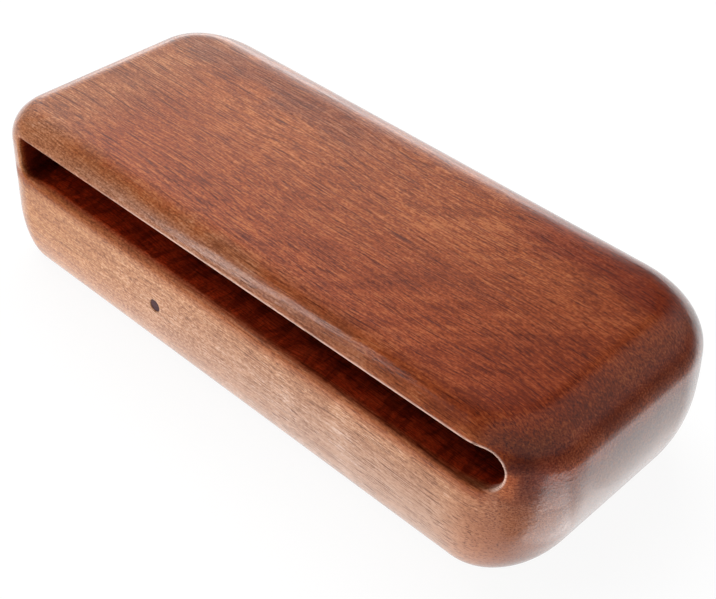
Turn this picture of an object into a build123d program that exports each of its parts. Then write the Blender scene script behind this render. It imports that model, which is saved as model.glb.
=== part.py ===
from build123d import *
from math import cos, radians, sqrt
import os

# A concert woodblock: one solid hardwood block with a long tone slot milled in from its front,
# and a dark dowel plug let into the front below the slot.
# Millimetres. +X runs along the block, the slot opens towards -Y and +Z is up.
# The origin is the middle of the base.

# Block. It is shaped by hand, so its corners and edges aren't all alike.
block_length = 217.4
block_width = 95.2
block_height = 55.4
front_left_corner = 17.0
back_left_corner = 26.0
back_right_corner = 30.0
front_right_corner = 23.0

# Round-overs: quarter circles along the top, and taller quarter ellipses along the base
top_round = {"left": 12.3, "right": 12.9, "front": 10.4, "back": 19.3}
base_rise = {"left": 20.0, "right": 31.0, "front": 19.0, "back": 20.0}
base_inset = {"left": 12.0, "right": 10.0, "front": 6.8, "back": 12.0}

# How far the right end bulges at half its height
end_crown = 3.0

# Turn of the round-over between one section of the block and the next
section_step = 10

# Tone slot
top_plate = 6.9
slot_height = 12.9
slot_depth = 66.0
slot_upper_left_corner = 1.0
slot_lower_left_corner = 4.0
slot_right_corner = 6.0
left_wall = 14.5
right_wall = 12.4
lip_round = 1.0

# Plug in the front
plug_diameter = 4.0
plug_length = 12.0
plug_from_left = 77.2
plug_above_base = 20.0
plug_recess = 0.4
plug_clearance = 0.05
rim_round = 0.4

# Extra length of a cutter outside the wood
cutter_overrun = 5.0

# Places worked out from the sizes
front = -block_width / 2
slot_left = -block_length / 2 + left_wall
slot_right = block_length / 2 - right_wall
slot_top = block_height - top_plate
slot_middle_x = (slot_left + slot_right) / 2
slot_middle_z = slot_top - slot_height / 2
plug_x = -block_length / 2 + plug_from_left


def front_plane(x, z, inward=0.0):
    """A sketch plane that faces out of the front, set back into the wood by inward."""
    return Plane(origin=(x, front + inward, z), x_dir=(1, 0, 0), z_dir=(0, -1, 0))


def inset(side, z):
    """How far one side stands in from the block's full size at height z."""
    above = (z - block_height) / top_round[side] + 1
    below = 1 - z / base_rise[side]
    if above > 0:
        return top_round[side] * (1 - sqrt(1 - above ** 2))
    if below > 0:
        return base_inset[side] * (1 - sqrt(1 - below ** 2))
    return 0.0


def corner_arc(z, end, side, radius, start):
    """The quarter ellipse round one upright corner at height z."""
    middle = block_height / 2
    crown = end_crown * ((z - middle) / middle) ** 2
    x = block_length / 2 - radius - crown if end == "right" else radius - block_length / 2
    y = block_width / 2 - radius if side == "back" else radius - block_width / 2
    along = radius - inset(end, z)
    across = radius - inset(side, z)
    return EllipticalCenterArc((x, y, z), along, across, start, arc_size=90)


def section(z):
    """The block's outline at height z: four straight sides joined by the corners."""
    arcs = [
        corner_arc(z, "right", "front", front_right_corner, 270),
        corner_arc(z, "right", "back", back_right_corner, 0),
        corner_arc(z, "left", "back", back_left_corner, 90),
        corner_arc(z, "left", "front", front_left_corner, 180),
    ]
    outline = []
    for arc, following in zip(arcs, arcs[1:] + arcs[:1]):
        outline += [arc, Line(arc @ 1, following @ 0)]
    return make_face(outline)


def rounded_blank():
    """The block before the slot is cut, through sections that crowd towards its base and its top."""
    turns = [1 - cos(radians(angle)) for angle in range(0, 91, section_step)]
    from_base = [max(base_rise.values()) * turn for turn in turns]
    from_top = [block_height - max(top_round.values()) * turn for turn in reversed(turns)]
    return loft([section(z) for z in sorted(from_base + from_top)])


def slot_cutter():
    """The space that the milling cutter sweeps: round at the right, nearly square at the upper left."""
    mouth = Rectangle(slot_right - slot_left, slot_height)
    mouth = fillet(mouth.vertices().group_by(Axis.X)[-1], slot_right_corner)
    mouth = fillet(mouth.vertices().group_by(Axis.X)[0].sort_by(Axis.Y)[-1], slot_upper_left_corner)
    mouth = fillet(mouth.vertices().group_by(Axis.X)[0].sort_by(Axis.Y)[0], slot_lower_left_corner)
    sweep = slot_depth + cutter_overrun
    return front_plane(slot_middle_x, slot_middle_z, slot_depth) * extrude(mouth, sweep)


def plug_hole():
    """The blind hole for the plug, its bottom where the plug's inner end seats."""
    radius = plug_diameter / 2 + plug_clearance
    depth = plug_recess + plug_length
    return front_plane(plug_x, plug_above_base, depth) * extrude(Circle(radius), depth + cutter_overrun)


def block_body():
    """The block with its slot, eased along the mouth, and with its eased plug hole."""
    blank = rounded_blank()
    slot = slot_cutter()
    slotted = blank - slot
    slotted = fillet(new_edges(blank, slot, combined=slotted), lip_round)
    hole = plug_hole()
    drilled = slotted - hole
    return fillet(new_edges(slotted, hole, combined=drilled).sort_by(Axis.Y)[0], rim_round)


def front_plug():
    """The dowel plug, seated on the bottom of its hole and just below the surface."""
    seat = plug_recess + plug_length
    return front_plane(plug_x, plug_above_base, seat) * extrude(Circle(plug_diameter / 2), plug_length)


os.makedirs("parts", exist_ok=True)
export_step(block_body(), "parts/block_body.step")
export_step(front_plug(), "parts/front_plug.step")
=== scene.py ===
import math

import bpy
import numpy as np
from mathutils import Matrix, Vector


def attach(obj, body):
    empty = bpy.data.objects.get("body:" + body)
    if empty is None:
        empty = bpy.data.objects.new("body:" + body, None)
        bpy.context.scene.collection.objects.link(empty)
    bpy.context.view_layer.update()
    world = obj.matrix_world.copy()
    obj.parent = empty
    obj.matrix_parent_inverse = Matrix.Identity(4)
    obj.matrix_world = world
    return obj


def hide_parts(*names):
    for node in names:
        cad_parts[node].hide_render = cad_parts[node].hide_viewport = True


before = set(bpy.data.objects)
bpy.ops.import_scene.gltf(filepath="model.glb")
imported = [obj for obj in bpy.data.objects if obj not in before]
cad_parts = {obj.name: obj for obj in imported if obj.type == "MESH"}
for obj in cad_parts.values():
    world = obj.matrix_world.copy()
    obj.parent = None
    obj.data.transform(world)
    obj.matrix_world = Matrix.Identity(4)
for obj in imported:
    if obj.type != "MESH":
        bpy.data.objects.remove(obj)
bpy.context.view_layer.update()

# A concert woodblock of lacquered mahogany. The block's surface is described as a distance field in
# millimetres, in the frame of the CAD model, and meshed here in metres. The plug is the CAD solid.

MM = 0.001

# The block. It is shaped by hand, so its corners and edges aren't all alike.
LENGTH = 217.4
WIDTH = 95.2
HEIGHT = 55.4
FRONT = -WIDTH / 2
CORNER_FRONT_LEFT = 17.0
CORNER_BACK_LEFT = 26.0
CORNER_BACK_RIGHT = 30.0
CORNER_FRONT_RIGHT = 23.0
TOP_ROUND = {"left": 12.3, "right": 12.9, "front": 10.4, "back": 19.3}
BASE_RISE = {"left": 20.0, "right": 31.0, "front": 19.0, "back": 20.0}
BASE_INSET = {"left": 12.0, "right": 10.0, "front": 6.8, "back": 12.0}

# How far the right end bulges at half its height, which grows along X from a place over a run
END_CROWN = 3.0
CROWN_START = 40.0
CROWN_RUN = 60.0

# The tone slot. Its left end is nearly square above, and its right end is round.
SLOT_LEFT = -94.2
SLOT_RIGHT = 96.3
SLOT_FLOOR = 35.6
SLOT_CEILING = 48.5
SLOT_BACK = FRONT + 66.0
SLOT_CORNER_UPPER_LEFT = 1.0
SLOT_CORNER_LOWER_LEFT = 4.0
SLOT_CORNER_RIGHT = 6.0
SLOT_INNER_ROUND = 2.0

# Easing of the slot's mouth: above, and below at places along X. It blends between two heights.
UPPER_LIP = 0.8
LIP_PLACES = (-94.0, -84.0, -45.0, 25.0, 96.0)
LOWER_LIP = (1.0, 3.2, 3.2, 1.9, 1.1)
LIP_BLEND_TOP = SLOT_CEILING - 2.0
LIP_BLEND_RUN = SLOT_CEILING - SLOT_FLOOR - 3.0

# The plug's hole
PLUG_X = -31.5
PLUG_Z = 20.0
HOLE_RADIUS = 2.05
HOLE_DEPTH = 12.4
HOLE_RIM = 0.4

# Grid lines for the mesh: where it starts, then each run's end and step. It is finer at the slot's ends,
# along the lips and round the plug's hole.
GRID_X = ((-109.6, 0), (-97.6, 1.6), (-91.0, 0.4), (-86.0, 0.8), (-35.2, 2.6), (-34.2, 0.5),
          (-28.6, 0.28), (-27.6, 0.5), (85.0, 2.6), (98.0, 0.6), (109.4, 1.4))
GRID_Y = ((-48.5, 0), (-41.0, 0.35), (-30.0, 1.1), (14.0, 2.4), (20.0, 0.8), (48.6, 1.8))
GRID_Z = ((-0.7, 0), (6.0, 0.8), (17.0, 1.2), (23.2, 0.28), (31.0, 1.0), (51.4, 0.42), (55.8, 0.6))

# Moving the mesh onto the surface: rounds, the longest move in a round, and the least slope to divide by
SETTLE_ROUNDS = 4
SETTLE_MOVE = 0.6
SETTLE_SLOPE = 0.05


# Shape of the block

def smooth(t):
    """0 to 1 with level ends, for t from 0 to 1."""
    t = np.clip(t, 0.0, 1.0)
    return t * t * (3.0 - 2.0 * t)


def rounded_and(a, b, radius):
    """The field of what lies in both a and b, with the edge between them rounded."""
    inner = np.minimum(np.maximum(a, b), -radius)
    return inner + np.hypot(np.maximum(a + radius, 0.0), np.maximum(b + radius, 0.0))


def rounded_box(u, v, half_u, half_v, radius):
    """The field of a rectangle with round corners."""
    du = np.abs(u) - (half_u - radius)
    dv = np.abs(v) - (half_v - radius)
    inner = np.minimum(np.maximum(du, dv), 0.0)
    return inner + np.hypot(np.maximum(du, 0.0), np.maximum(dv, 0.0)) - radius


def lip_radius(x, z):
    """How far the slot's mouth is eased: little along the top and at the ends, more along the bottom."""
    lower = np.interp(x, LIP_PLACES, LOWER_LIP)
    share = smooth((LIP_BLEND_TOP - z) / LIP_BLEND_RUN)
    return UPPER_LIP + (lower - UPPER_LIP) * share


def by_side(sizes, x, y, past_x, past_y):
    """A size that has its own value at each side and blends round the corners."""
    end = np.where(x > 0.0, sizes["right"], sizes["left"])
    side = np.where(y > 0.0, sizes["back"], sizes["front"])
    total = past_x ** 2 + past_y ** 2
    share = np.where(total > 0.0, past_x ** 2 / np.maximum(total, 1e-9), 0.5)
    return side + (end - side) * share


def blank_field(x, y, z):
    """Signed distance to the block before its slot is cut."""
    rise = (z - HEIGHT / 2) / (HEIGHT / 2)
    x = x + END_CROWN * rise ** 2 * smooth((x - CROWN_START) / CROWN_RUN)
    corner = np.where(x > 0.0, np.where(y > 0.0, CORNER_BACK_RIGHT, CORNER_FRONT_RIGHT),
                      np.where(y > 0.0, CORNER_BACK_LEFT, CORNER_FRONT_LEFT))
    plan = rounded_box(x, y, LENGTH / 2, WIDTH / 2, corner)
    past_x = np.maximum(np.abs(x) - (LENGTH / 2 - corner), 0.0)
    past_y = np.maximum(np.abs(y) - (WIDTH / 2 - corner), 0.0)
    round_off = by_side(TOP_ROUND, x, y, past_x, past_y)
    upper = rounded_and(plan, z - HEIGHT, round_off)
    climb = by_side(BASE_RISE, x, y, past_x, past_y)
    inset = by_side(BASE_INSET, x, y, past_x, past_y)
    lower = rounded_and(plan / inset, -z / climb, 1.0) * inset
    return np.maximum(upper, lower)


def block_field(x, y, z):
    """Signed distance to the block's surface, negative in the wood."""
    blank = blank_field(x, y, z)
    middle_x = (SLOT_LEFT + SLOT_RIGHT) / 2
    middle_z = (SLOT_FLOOR + SLOT_CEILING) / 2
    half_x = (SLOT_RIGHT - SLOT_LEFT) / 2
    half_z = (SLOT_CEILING - SLOT_FLOOR) / 2
    left_corner = np.where(z > middle_z, SLOT_CORNER_UPPER_LEFT, SLOT_CORNER_LOWER_LEFT)
    corner = np.where(x > middle_x, SLOT_CORNER_RIGHT, left_corner)
    mouth = rounded_box(x - middle_x, z - middle_z, half_x, half_z, corner)
    slot = rounded_and(mouth, y - SLOT_BACK, SLOT_INNER_ROUND)
    wood = rounded_and(blank, -slot, lip_radius(x, z))
    bore = np.hypot(x - PLUG_X, z - PLUG_Z) - HOLE_RADIUS
    hole = np.maximum(bore, y - (FRONT + HOLE_DEPTH))
    return rounded_and(wood, -hole, HOLE_RIM)


def stations(runs):
    """Grid lines along one axis: each run is (end, step) and starts where the last one ended."""
    lines = [runs[0][0]]
    for end, step in runs[1:]:
        count = max(1, round((end - lines[-1]) / step))
        lines.extend(np.linspace(lines[-1], end, count + 1)[1:])
    return np.array(lines)


def surface_net(field, xs, ys, zs):
    """One vertex in each grid cell that the surface crosses, and one quad across each crossed grid line."""
    gx, gy, gz = np.meshgrid(xs, ys, zs, indexing="ij")
    value = field(gx, gy, gz)
    inside = value < 0.0
    shape = tuple(n - 1 for n in value.shape)
    total = np.zeros(shape + (3,))
    count = np.zeros(shape)
    grid = (gx, gy, gz)
    crossed = []
    for axis in range(3):
        low = [slice(None)] * 3
        high = [slice(None)] * 3
        low[axis] = slice(None, -1)
        high[axis] = slice(1, None)
        low, high = tuple(low), tuple(high)
        cut = inside[low] != inside[high]
        crossed.append(cut)
        rise = np.where(cut, value[high] - value[low], 1.0)
        share = np.where(cut, -value[low] / rise, 0.0)
        points = [g[low] + share * (g[high] - g[low]) for g in grid]
        b, c = [k for k in range(3) if k != axis]
        for ob in (0, 1):
            for oc in (0, 1):
                part = [slice(None)] * 3
                part[b] = slice(ob, ob + shape[b])
                part[c] = slice(oc, oc + shape[c])
                part = tuple(part)
                here = cut[part]
                count += here
                for k in range(3):
                    total[..., k] += np.where(here, points[k][part], 0.0)
    active = count > 0
    index = np.full(shape, -1)
    index[active] = np.arange(active.sum())
    vertices = total[active] / count[active][:, None]
    quads = []
    for axis in range(3):
        b, c = (axis + 1) % 3, (axis + 2) % 3
        where = np.argwhere(crossed[axis])
        keep = (where[:, b] > 0) & (where[:, c] > 0)
        keep &= (where[:, b] < shape[b]) & (where[:, c] < shape[c])
        where = where[keep]
        ring = []
        for ob, oc in ((-1, -1), (0, -1), (0, 0), (-1, 0)):
            cell = where.copy()
            cell[:, b] += ob
            cell[:, c] += oc
            ring.append(index[tuple(cell.T)])
        ring = np.stack(ring, axis=1)
        outward = inside[tuple(where.T)]
        ring[~outward] = ring[~outward][:, ::-1]
        quads.append(ring)
    return vertices, np.concatenate(quads)


def gradient(field, p, step=0.01):
    """The field's direction of steepest rise at each point."""
    slope = np.empty_like(p)
    for k in range(3):
        shift = np.zeros(3)
        shift[k] = step
        slope[:, k] = field(*(p + shift).T) - field(*(p - shift).T)
    return slope / (2.0 * step)


def settle(field, p):
    """Points moved onto the surface along the field, and the surface's normals there."""
    for _ in range(SETTLE_ROUNDS):
        slope = gradient(field, p)
        steep = np.maximum((slope * slope).sum(axis=1), SETTLE_SLOPE)
        move = np.clip(field(*p.T), -SETTLE_MOVE, SETTLE_MOVE) / steep
        p = p - move[:, None] * slope
    slope = gradient(field, p)
    return p, slope / np.linalg.norm(slope, axis=1)[:, None]


def block_piece():
    """The block with its slot and its plug hole, as one closed mesh."""
    xs, ys, zs = (stations(runs) for runs in (GRID_X, GRID_Y, GRID_Z))
    vertices, quads = surface_net(block_field, xs, ys, zs)
    vertices, normals = settle(block_field, vertices)
    mesh = bpy.data.meshes.new("block_wood")
    mesh.from_pydata((vertices * MM).tolist(), [], quads.tolist())
    mesh.validate()
    mesh.shade_smooth()
    mesh.normals_split_custom_set_from_vertices(normals.tolist())
    piece = bpy.data.objects.new("block_wood", mesh)
    bpy.context.scene.collection.objects.link(piece)
    return piece


# Node helpers

class Graph:
    """Short calls that add nodes to one tree."""

    def __init__(self, tree):
        self.tree = tree
        tree.nodes.clear()

    def put(self, socket, value):
        """A link where value is an output, or a constant."""
        if isinstance(value, bpy.types.NodeSocket):
            self.tree.links.new(value, socket)
        else:
            socket.default_value = value

    def node(self, kind, inputs=None, **settings):
        made = self.tree.nodes.new(kind)
        for name, value in settings.items():
            setattr(made, name, value)
        for name, value in (inputs or {}).items():
            self.put(made.inputs[name], value)
        return made

    def math(self, operation, a, b=0.0):
        return self.node("ShaderNodeMath", {0: a, 1: b}, operation=operation).outputs[0]

    def add(self, a, b):
        return self.math("ADD", a, b)

    def product(self, first, *others):
        for other in others:
            first = self.math("MULTIPLY", first, other)
        return first

    def rest(self, share):
        """What is left of 1."""
        return self.math("SUBTRACT", 1.0, share)

    def stretch(self, vector, scale):
        return self.node("ShaderNodeVectorMath", {0: vector, 1: scale}, operation="MULTIPLY").outputs[0]

    def shift(self, vector, by):
        return self.node("ShaderNodeVectorMath", {0: vector, 1: by}, operation="ADD").outputs[0]

    def noise(self, vector, scale, detail=2.0, roughness=0.5, distortion=0.0, output="Fac"):
        """Noise from about 0 to 1. scale is in features per millimetre along X, Y and Z."""
        made = self.node("ShaderNodeTexNoise", {"Vector": self.stretch(vector, scale), "Scale": 1.0,
                                                "Detail": detail, "Roughness": roughness,
                                                "Distortion": distortion})
        return made.outputs[output]

    def band(self, value, low, high, to_low=0.0, to_high=1.0, smooth=True):
        """value from low to high, mapped to to_low to to_high and held at the ends."""
        kind = "SMOOTHSTEP" if smooth else "LINEAR"
        made = self.node("ShaderNodeMapRange", {"Value": value, "From Min": low, "From Max": high,
                                                "To Min": to_low, "To Max": to_high},
                         interpolation_type=kind)
        return made.outputs[0]

    def area(self, *limits):
        """The share within all limits. Each is a value, where the share is 0, and where it is 1."""
        return self.product(*(self.band(*limit) for limit in limits))

    def mix(self, share, a, b, blend="MIX"):
        made = self.node("ShaderNodeMix", data_type="RGBA", blend_type=blend)
        self.put(made.inputs[0], share)
        self.put(made.inputs[6], a)
        self.put(made.inputs[7], b)
        return made.outputs[2]

    def tint(self, colour, share, r, g, b):
        """colour times a factor for each of red, green and blue, as far as share says."""
        return self.mix(share, colour, rgb(r, g, b), "MULTIPLY")

    def ramp(self, value, stops):
        made = self.node("ShaderNodeValToRGB", {"Fac": value})
        ramp = made.color_ramp
        while len(ramp.elements) < len(stops):
            ramp.elements.new(0.5)
        for element, (place, colour) in zip(ramp.elements, stops):
            element.position = place
            element.color = colour
        return made.outputs["Color"]

    def split(self, vector):
        return self.node("ShaderNodeSeparateXYZ", {0: vector}).outputs

    def millimetres(self):
        """The place on the part in millimetres."""
        place = self.node("ShaderNodeTexCoord").outputs["Object"]
        return self.stretch(place, (1.0 / MM, 1.0 / MM, 1.0 / MM))

    def rays(self):
        """The kinds of ray that see the surface, and the share of rays that were mirrored or bent."""
        path = self.node("ShaderNodeLightPath").outputs
        return path, self.math("MAXIMUM", path["Is Glossy Ray"], path["Is Transmission Ray"])

    def surface(self, shader):
        self.node("ShaderNodeOutputMaterial", {"Surface": shader})


def material(name):
    made = bpy.data.materials.new(name)
    made.use_nodes = True
    return made, Graph(made.node_tree)


def rgb(r, g, b):
    return (r, g, b, 1.0)


# Materials

# Tints by place. Some are the wood's own colour and some are painted shade and light, as each name says.
# Each has its limits, as a value, where the tint is nothing and where it is full, in millimetres, then its
# strength, then what red, green and blue are multiplied by.
# Stained and wavy y are y moved a little by the wood's mottle, so that an edge isn't ruled.
TINTS = {
    # Painted shade: a dark band inside the back edge, where the top turns away from the light
    "painted shade: dark streak along the top, inside the back edge": (
        (("wavy y", 14.0, 22.0), ("wavy y", 40.0, 28.0), ("x", 20.0, -40.0), ("z", 44.0, 52.0)),
        0.75, (0.62, 0.61, 0.88)),
    # Painted shade: the same dark band at the back right of the top
    "painted shade: dark patch on the top at the back right": (
        (("x", 36.0, 54.0), ("x", 108.0, 92.0), ("stained y", 14.0, 24.0), ("y", 42.0, 35.0),
         ("z", 44.0, 52.0)),
        1.0, (0.68, 0.48, 0.48)),
    # Painted light and sheen: the far left of the top made paler and bluer
    "painted light and sheen: paler left of the top": (
        (("x", -66.0, -90.0), ("z", 50.0, 54.0), ("y", -47.0, -38.0)),
        1.0, (1.18, 1.50, 2.05)),
    # Partly the wood's own redder colour, partly painted shade where less light and sheen fall towards the
    # right
    "redder towards the right, high up: partly the wood, partly painted shade": (
        (("x", -70.0, 110.0), ("z", 30.0, 50.0)),
        0.75, (0.72, 0.48, 0.36)),
    # Partly the wood's own darker colour, partly painted shade where less light reaches the far right
    "darker far right of the top: partly the wood, partly painted shade": (
        (("x", 66.0, 92.0), ("z", 49.0, 54.0)),
        1.0, (0.82, 0.72, 0.68)),
    "deeper gold towards the left": (
        (("x", -30.0, -90.0), ("z", 2.0, 20.0)),
        1.0, (0.88, 0.80, 0.66)),
    "darker front edge of the top": (
        (("y", -37.0, -42.0), ("z", 49.0, 51.0), ("x", -80.0, -60.0)),
        1.0, (0.85, 0.89, 0.94)),
    # Painted shade: the right end made darker and redder low down, where it faces away from the lamps
    "painted shade: redder right end, low down": (
        (("x", 78.0, 102.0), ("z", 46.0, 36.0)),
        1.0, (0.77, 0.59, 0.61)),
    # Painted light: the right end's shoulder made paler
    "painted light: paler shoulder of the right end": (
        (("z", 37.0, 43.0), ("z", 54.0, 50.0), ("x", 100.0, 105.0)),
        1.0, (1.60, 1.40, 1.40)),
    # Painted shade: the corner above the slot's right end darkened to a deep orange
    "painted shade: deep orange above the slot's right end": (
        (("x", 88.0, 95.0), ("x", 103.5, 99.5), ("z", 43.0, 46.0), ("z", 52.5, 49.5), ("y", -37.0, -41.0)),
        1.0, (0.66, 0.46, 0.22)),
}


def wood_tone(g, place, grain, dashes, mottle, face, low):
    """How light the wood's figure is, about 0.5 on average."""
    x = g.split(place)[0]
    layers = g.noise(grain, (0.005, 0.05, 0.20), detail=3.0, roughness=0.55)
    streaks = g.noise(grain, (0.022, 0.75, 0.95), detail=3.0, roughness=0.62)
    speckle = g.noise(place, (1.0, 1.9, 1.9), detail=1.5, roughness=0.6)

    # Ribbon figure that runs across the grain at a slant, stronger towards the right end
    slant = g.node("ShaderNodeVectorRotate", {"Vector": place, "Angle": math.radians(-46.0)},
                   rotation_type="Z_AXIS").outputs[0]
    ribbon = g.noise(slant, (0.010, 0.10, 0.03), detail=3.0, roughness=0.6, distortion=0.4)
    ribbon_part = g.product(g.band(x, -40.0, 60.0, 0.3, 1.0), 1.1)

    # The front is quieter than the rest: its streaks are weaker, and so are its dashes, most at the left.
    # Its specks are stronger at the left and weaker at the right.
    streak_part = g.product(g.rest(g.product(face, 0.5)), g.band(x, -60.0, 80.0, 0.80, 0.70))
    dash_part = g.product(face, g.band(x, -30.0, 20.0, -1.25, -0.6))
    dash_part = g.add(dash_part, g.band(x, -60.0, 80.0, 2.0, 1.8))
    speck_part = g.product(face, g.band(x, -30.0, 20.0, 0.2, -0.4))
    speck_part = g.add(speck_part, g.band(x, -80.0, -10.0, 1.35, 1.55))

    tone = 0.0
    for pattern, strength in ((ribbon, ribbon_part), (layers, 0.50), (streaks, streak_part),
                              (dashes, dash_part), (mottle, 0.30), (speckle, speck_part)):
        tone = g.add(tone, g.product(g.math("SUBTRACT", pattern, 0.5), strength))

    # The whole figure is fainter low down towards the right
    calm = g.math("MAXIMUM", g.product(low, g.band(x, 20.0, 80.0, 0.35, 0.66)), 0.06)
    return g.add(g.product(tone, g.rest(calm)), 0.5)


def wood_colour(g, place, tone, mottle, low):
    """The wood's colour outside the slot, with painted shade and light in it, before its pores."""
    x, y, z = g.split(place)
    stain = g.band(mottle, 0.3, 0.7, -3.0, 3.0)
    stained_y = g.add(y, stain)

    # Red-brown on the top, reaching lower at the right end, and golden tan on the sides and on the front
    # edge towards the left. On that front edge the gold is partly the wood's tan and partly painted light
    # from the front.
    top = g.ramp(tone, ((0.10, rgb(0.225, 0.050, 0.013)), (0.42, rgb(0.36, 0.086, 0.022)),
                        (0.60, rgb(0.45, 0.121, 0.034)), (0.92, rgb(0.61, 0.222, 0.082))))
    side = g.ramp(tone, ((0.12, rgb(0.27, 0.085, 0.026)), (0.42, rgb(0.46, 0.180, 0.066)),
                         (0.60, rgb(0.55, 0.240, 0.096)), (0.88, rgb(0.68, 0.36, 0.18))))
    drop = g.band(x, 85.0, 105.0, 0.0, 10.0)
    high = g.band(g.add(g.add(z, drop), stain), 34.0, 53.0)
    edge = g.area((stained_y, -37.0, -46.0), (x, 85.0, 10.0))
    colour = g.mix(g.product(high, g.rest(g.product(edge, 0.62))), side, top)
    # Paler and bluer on the upper part of that front edge: partly the wood's tone, partly painted light
    colour = g.tint(colour, g.product(edge, g.band(z, 46.0, 50.0)), 0.99, 1.15, 1.72)

    # The top is deeper in colour at the front and paler towards the back: partly the wood's own tone, partly
    # painted sheen from the back
    depth = g.mix(g.band(y, -35.0, 15.0), rgb(1.00, 0.80, 0.58), rgb(1.12, 1.12, 1.06))
    colour = g.mix(g.area((z, 50.0, 54.0), (x, -95.0, -60.0)), colour, depth, "MULTIPLY")

    values = {"x": x, "y": y, "z": z, "stained y": stained_y,
              "wavy y": g.add(y, g.band(mottle, 0.3, 0.7, -5.0, 5.0))}
    for limits, strength, factor in TINTS.values():
        share = g.area(*((values[name], outer, inner) for name, outer, inner in limits))
        colour = g.tint(colour, g.product(share, strength), *factor)

    # Painted light: paler and pinker low on the right of the front, where the bright floor washes it
    colour = g.tint(colour, g.product(low, g.band(x, 98.0, 74.0)), 0.96, 1.33, 2.30)

    # Painted shade beyond the slot's right end, where the corner turns from the light, with a brighter
    # golden spot in it on the front
    spot = g.area((x, 95.0, 97.0), (x, 101.0, 98.0), (z, 33.0, 37.0), (z, 44.5, 42.0), (y, -37.0, -41.0))
    dark = g.area((x, 94.0, 99.0), (x, 108.0, 103.0), (z, 28.0, 42.0), (z, 53.0, 48.0))
    colour = g.tint(colour, g.product(dark, g.rest(spot)), 0.52, 0.38, 0.42)
    return g.tint(colour, spot, 1.30, 1.20, 1.00)


def outside_slot(g, x, z):
    """How far a place lies outside the slot's outline, seen from the front and taken to run on leftwards."""
    middle_z = (SLOT_FLOOR + SLOT_CEILING) / 2
    reach = (SLOT_CEILING - SLOT_FLOOR) / 2 - SLOT_CORNER_RIGHT
    past_x = g.math("MAXIMUM", g.math("SUBTRACT", x, SLOT_RIGHT - SLOT_CORNER_RIGHT), 0.0)
    past_z = g.math("SUBTRACT", g.math("ABSOLUTE", g.math("SUBTRACT", z, middle_z)), reach)
    past_z = g.math("MAXIMUM", past_z, 0.0)
    square = g.add(g.product(past_x, past_x), g.product(past_z, past_z))
    return g.math("SUBTRACT", g.math("SQRT", square), SLOT_CORNER_RIGHT)


def slot_colour(g, place, colour):
    """The colour with the slot's own wood in it, with painted shade below and inside the slot and a painted
    highlight on its lip, and where that wood has little lacquer.
    """
    x, y, z = g.split(place)
    outward = outside_slot(g, x, z)

    # Painted shade in red below the slot, where the lower lip turns up away from the light
    painted_shade_below_slot = g.area((z, SLOT_FLOOR - 6.0, SLOT_FLOOR - 1.0), (z, SLOT_FLOOR + 2.0, SLOT_FLOOR),
                   (x, SLOT_RIGHT + 2.0, SLOT_RIGHT - 6.0), (y, FRONT + 2.6, FRONT + 1.2))
    colour = g.tint(colour, painted_shade_below_slot, 0.74, 0.52, 0.43)

    # Raw wood inside the slot: red at the mouth, with the cutter's marks. Painted shade makes it dark
    # further in and at the left
    mouth = g.band(x, 82.0, 92.0, FRONT + 0.2, FRONT + 2.2)
    inside = g.area((g.math("SUBTRACT", y, mouth), 0.0, 3.0), (y, SLOT_BACK + 0.5, SLOT_BACK),
                    (outward, 1.0, 0.3))
    for value, outer, inner in ((z, SLOT_FLOOR - 3.0, SLOT_FLOOR),
                                (z, SLOT_CEILING + 1.0, SLOT_CEILING - 0.2),
                                (x, SLOT_LEFT - 1.0, SLOT_LEFT),
                                (x, SLOT_RIGHT + 0.3, SLOT_RIGHT - 0.5)):
        inside = g.product(inside, g.band(value, outer, inner, smooth=False))
    colour = g.tint(colour, inside, 1.25, 0.36, 0.20)
    cutter = g.noise(place, (0.30, 0.10, 0.30), detail=3.0, roughness=0.65, distortion=0.8)
    colour = g.tint(colour, g.product(inside, g.band(cutter, 0.56, 0.40, 0.0, 0.65)), 0.30, 0.25, 0.25)
    # Painted shade deep in the slot and at its left end
    deep = g.product(g.band(y, FRONT + 3.0, FRONT + 12.0), g.band(x, -70.0, 20.0, 0.4, 0.75))
    deep = g.math("MAXIMUM", deep, g.band(x, -84.0, -92.0, 0.0, 0.85))
    colour = g.tint(colour, g.product(inside, deep), 0.12, 0.06, 0.05)

    # Painted highlight: the slot's lip is pale above and round the right end
    lip = g.band(x, 82.0, 97.0, FRONT + 1.6, FRONT + 4.5)
    painted_lip_highlight = g.area((outward, -0.8, -0.2), (outward, 1.1, 0.5), (z, SLOT_FLOOR, SLOT_FLOOR + 2.5),
                  (g.math("SUBTRACT", y, lip), 1.0, 0.0))
    painted_lip_highlight = g.product(painted_lip_highlight, g.band(x, -75.0, -15.0, 0.0, 0.7))
    colour = g.mix(painted_lip_highlight, colour, rgb(0.80, 0.56, 0.46))
    return colour, g.math("MAXIMUM", inside, painted_shade_below_slot)


def pores(g, grain, x, face):
    """Thin dark dashes along the grain, some long and some fine, and lines that run on at the left."""
    dashes = g.noise(grain, (0.06, 2.8, 2.8), detail=1.0)
    fine = g.noise(g.shift(grain, (31.0, 17.0, 5.0)), (0.30, 3.2, 3.2), detail=1.0)
    lines = g.noise(g.shift(grain, (7.0, 43.0, 11.0)), (0.018, 1.7, 1.7), detail=1.5)
    pore = g.math("MAXIMUM", g.band(dashes, 0.60, 0.65), g.band(fine, 0.61, 0.68, 0.0, 0.8))
    pore = g.product(pore, g.band(x, -80.0, -10.0, 0.55, 1.0))
    pore = g.math("MAXIMUM", pore, g.product(g.band(lines, 0.58, 0.66), g.band(x, 60.0, -60.0, 0.15, 1.0)))
    return g.product(pore, g.rest(g.product(face, g.band(x, -20.0, 30.0, 0.5, 0.1))))


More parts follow.
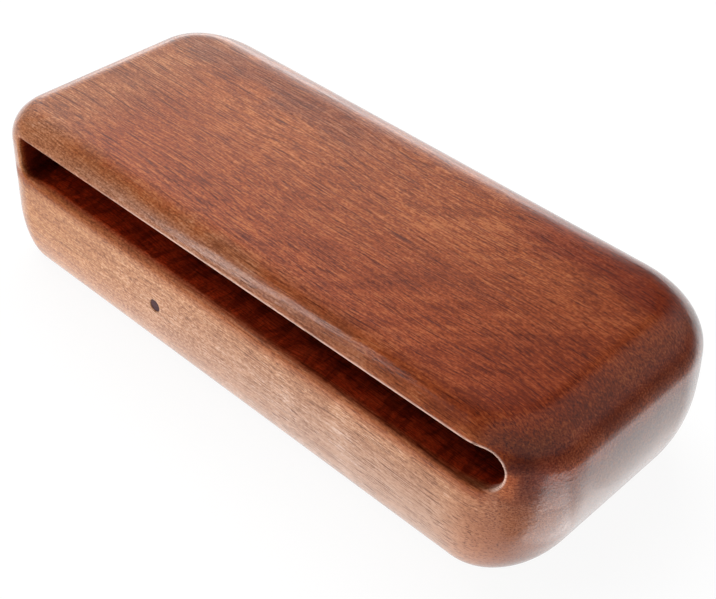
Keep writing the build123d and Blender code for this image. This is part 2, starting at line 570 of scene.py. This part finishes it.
def mahogany():
    """Flat-sawn mahogany with its grain along X, open pores, and clear lacquer, with painted shade and light
    by place.
    """
    made, g = material("lacquered_mahogany_grain")
    place = g.millimetres()
    x, y, z = g.split(place)
    face = g.band(y, -36.0, -45.0)
    low = g.area((x, -90.0, 50.0), (z, 40.0, 14.0))

    # The grain wanders a little, so that streaks aren't ruled lines
    wander = g.noise(place, (0.010, 0.018, 0.018), output="Color")
    wander = g.stretch(g.shift(wander, (-0.5, -0.5, -0.5)), (0.0, 12.0, 8.0))
    grain = g.shift(place, wander)
    dashes = g.noise(grain, (0.17, 2.2, 2.2), roughness=0.6)
    mottle = g.noise(place, (0.05, 0.09, 0.09), detail=3.0, roughness=0.6, distortion=0.6)

    tone = wood_tone(g, place, grain, dashes, mottle, face, low)
    colour = wood_colour(g, place, tone, mottle, low)
    colour, raw = slot_colour(g, place, colour)
    pore = pores(g, grain, x, face)
    colour = g.tint(colour, pore, 0.43, 0.32, 0.26)

    # Lacquer that follows the grain's ridges, sinks a little into the pores and is thin in the slot
    ridges = g.noise(grain, (0.045, 0.9, 0.9), roughness=0.6)
    relief = g.math("SUBTRACT", g.product(ridges, 1.6), g.product(pore, 0.12))
    bump = g.node("ShaderNodeBump", {"Height": relief, "Strength": 0.9, "Distance": 0.00006}).outputs[0]
    shader = g.node("ShaderNodeBsdfPrincipled", {
        "Base Color": colour, "Roughness": g.band(dashes, 0.3, 0.7, 0.34, 0.46), "IOR": 1.5,
        "Specular IOR Level": 0.2, "Normal": bump, "Coat Weight": g.rest(g.product(raw, 0.85)),
        "Coat Roughness": 0.16, "Coat IOR": 1.5, "Coat Normal": bump})
    g.surface(shader.outputs[0])
    return made


def dark_dowel():
    """End grain of a dark hardwood dowel."""
    made, g = material("dark_dowel_grain")
    place = g.millimetres()
    dots = g.noise(place, (3.0, 0.4, 3.0))
    rays = g.noise(place, (0.6, 0.1, 4.0))
    tone = g.add(g.product(dots, 0.6), g.product(rays, 0.4))
    colour = g.ramp(tone, ((0.35, rgb(0.035, 0.014, 0.016)), (0.65, rgb(0.125, 0.060, 0.066))))
    bump = g.node("ShaderNodeBump", {"Height": dots, "Strength": 0.2, "Distance": 0.00008}).outputs[0]
    shader = g.node("ShaderNodeBsdfPrincipled", {
        "Base Color": colour, "Roughness": g.band(dots, 0.3, 0.7, 0.5, 0.62),
        "Specular IOR Level": 0.25, "Normal": bump})
    g.surface(shader.outputs[0])
    return made


def studio_white():
    """A white floor. The camera sees it white with a faint shadow.

    Reflections see it dimmer in front, at the front right corner and far out to the right. Its places are in
    metres."""
    made, g = material("studio_white")
    x, y, _ = g.split(g.node("ShaderNodeTexCoord").outputs["Object"])
    dim = g.math("MAXIMUM", g.band(y, -0.03, -0.08, 0.0, 0.45), g.band(x, 0.125, 0.19, 0.0, 0.88))
    corner = g.product(g.band(y, -0.042, -0.058, 0.0, 0.88), g.band(x, 0.10, 0.115))
    dim = g.math("MAXIMUM", dim, corner)
    path, mirrored = g.rays()
    strength = g.math("SUBTRACT", 0.93, g.product(dim, mirrored))
    seen = g.math("MAXIMUM", path["Is Camera Ray"], mirrored)
    paper = g.node("ShaderNodeBsdfDiffuse", {"Color": rgb(0.82, 0.82, 0.82)}).outputs[0]
    veil = g.node("ShaderNodeBsdfDiffuse", {"Color": rgb(0.10, 0.10, 0.10)}).outputs[0]
    glow = g.node("ShaderNodeEmission", {"Color": rgb(1.0, 1.0, 1.0), "Strength": strength}).outputs[0]
    bright = g.node("ShaderNodeAddShader", {0: veil, 1: glow}).outputs[0]
    both = g.node("ShaderNodeMixShader", {0: seen, 1: paper, 2: bright}).outputs[0]
    g.surface(both)
    return made


# Stage, in metres and watts

FLOOR_HALF = 4.0
FLOOR_LEVEL = -0.0001

# Lamps: name, place, aim, width, height, power, shows in reflections or not, lights the part or not.
# The last three lie on the floor and stand for the over-exposed table that the lacquer mirrors.
LAMPS = (
    ("key", (-0.34, 0.22, 0.72), (0.0, 0.0, 0.03), 0.7, 0.7, 6.5, False, True),
    ("low_front", (-0.28, -0.82, 0.03), (0.0, -0.04, 0.03), 0.35, 0.05, 3.4, False, True),
    ("table", (-0.05, -0.21, 0.001), (-0.05, -0.21, 1.0), 0.5, 0.33, 0.5, False, True),
    ("back_strip", (-0.68, 0.70, 0.12), (0.0, 0.0, 0.05), 0.9, 0.18, 0.75, True, True),
    ("front_left", (-0.551, -0.733, 0.518), (0.0, 0.0, 0.05), 0.07, 0.62, 0.85, True, True),
    ("table_right", (0.128, 0.0775, 0.001), (0.128, 0.0775, 1.0), 0.046, 0.245, 0.0106, True, False),
    ("table_corner", (0.1385, -0.0305, 0.001), (0.1385, -0.0305, 1.0), 0.053, 0.031, 0.0075, True, False),
    ("table_middle", (0.1385, -0.0205, 0.001), (0.1385, -0.0205, 1.0), 0.053, 0.051, 0.0026, True, False),
)


def floor():
    around = ((-1, -1), (1, -1), (1, 1), (-1, 1))
    corners = [(FLOOR_HALF * u, FLOOR_HALF * v, FLOOR_LEVEL) for u, v in around]
    mesh = bpy.data.meshes.new("floor")
    mesh.from_pydata(corners, [], [(0, 1, 2, 3)])
    made = bpy.data.objects.new("floor", mesh)
    bpy.context.scene.collection.objects.link(made)
    mesh.materials.append(studio_white())


def softbox(name, place, aim, width, height, power, in_gloss, in_diffuse):
    """A rectangular studio lamp, seen in reflections, in the light on the part, or in both."""
    data = bpy.data.lights.new(name, "AREA")
    data.shape = "RECTANGLE"
    data.size = width
    data.size_y = height
    data.energy = power
    lamp = bpy.data.objects.new(name, data)
    bpy.context.scene.collection.objects.link(lamp)
    lamp.location = place
    lamp.rotation_euler = (Vector(aim) - Vector(place)).to_track_quat("-Z", "Y").to_euler()
    lamp.visible_camera = False
    lamp.visible_glossy = in_gloss
    lamp.visible_diffuse = in_diffuse


def surroundings():
    """Plain grey light all round. The camera sees white.

    In reflections the left and the low back left are pale, the right is a dim room and the rest is
    nearly dark."""
    world = bpy.data.worlds.new("studio")
    bpy.context.scene.world = world
    world.use_nodes = True
    g = Graph(world.node_tree)
    x, y, z = g.split(g.node("ShaderNodeTexCoord").outputs["Generated"])
    left = g.product(g.band(x, -0.44, -0.76, smooth=False), g.band(y, -0.45, 0.45))
    slope = g.math("DIVIDE", y, g.math("MAXIMUM", z, 0.05))
    backdrop = g.area((slope, 1.05, 1.30), (y, 0.0, 0.4), (x, -0.33, -0.60))
    room = g.product(g.band(x, -0.15, 0.15), g.band(z, 0.05, 0.35, 0.0, 0.36))
    pale = g.math("MAXIMUM", g.math("MAXIMUM", left, backdrop), room)
    pale = g.product(pale, g.band(x, -0.95, -0.80, 0.5, 1.0))
    pale = g.band(pale, 0.0, 1.0, 0.04, 1.0, smooth=False)
    path, mirrored = g.rays()
    level = g.mix(mirrored, rgb(0.16, 0.16, 0.16), pale)
    level = g.mix(path["Is Camera Ray"], level, rgb(0.95, 0.95, 0.95))
    back = g.node("ShaderNodeBackground", {"Color": level, "Strength": 1.0}).outputs[0]
    g.node("ShaderNodeOutputWorld", {"Surface": back})


# Camera, fitted to the photo: degrees, metres, pixels, and millimetres for the sensor

AZIMUTH = 41.523
ELEVATION = 39.906
ROLL = 3.248
CAMERA_PLACE = (0.22601, -0.24748, 0.29482)
IMAGE_WIDTH = 716.0
FOCAL_PIXELS = 1421.57
SENSOR = 36.0
NEAR_CLIP = 0.01


def camera():
    a, e, r = (math.radians(v) for v in (AZIMUTH, ELEVATION, ROLL))
    back = Vector((math.sin(a) * math.cos(e), -math.cos(a) * math.cos(e), math.sin(e)))
    level = Vector((math.cos(a), math.sin(a), 0.0))
    rise = back.cross(level)
    right = math.cos(r) * level + math.sin(r) * rise
    up = back.cross(right)
    data = bpy.data.cameras.new("camera")
    data.sensor_fit = "HORIZONTAL"
    data.sensor_width = SENSOR
    data.lens = FOCAL_PIXELS * SENSOR / IMAGE_WIDTH
    data.clip_start = NEAR_CLIP
    made = bpy.data.objects.new("camera", data)
    bpy.context.scene.collection.objects.link(made)
    turn = Matrix((right, up, back)).transposed().to_4x4()
    made.matrix_world = Matrix.Translation(CAMERA_PLACE) @ turn
    bpy.context.scene.camera = made


block = block_piece()
block.data.materials.append(mahogany())
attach(block, "root")
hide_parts("block_body")

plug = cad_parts["front_plug"]
for slot in plug.material_slots:
    slot.material = dark_dowel()

floor()
surroundings()
for lamp in LAMPS:
    softbox(*lamp)
camera()
bpy.context.scene.view_settings.view_transform = "Standard"
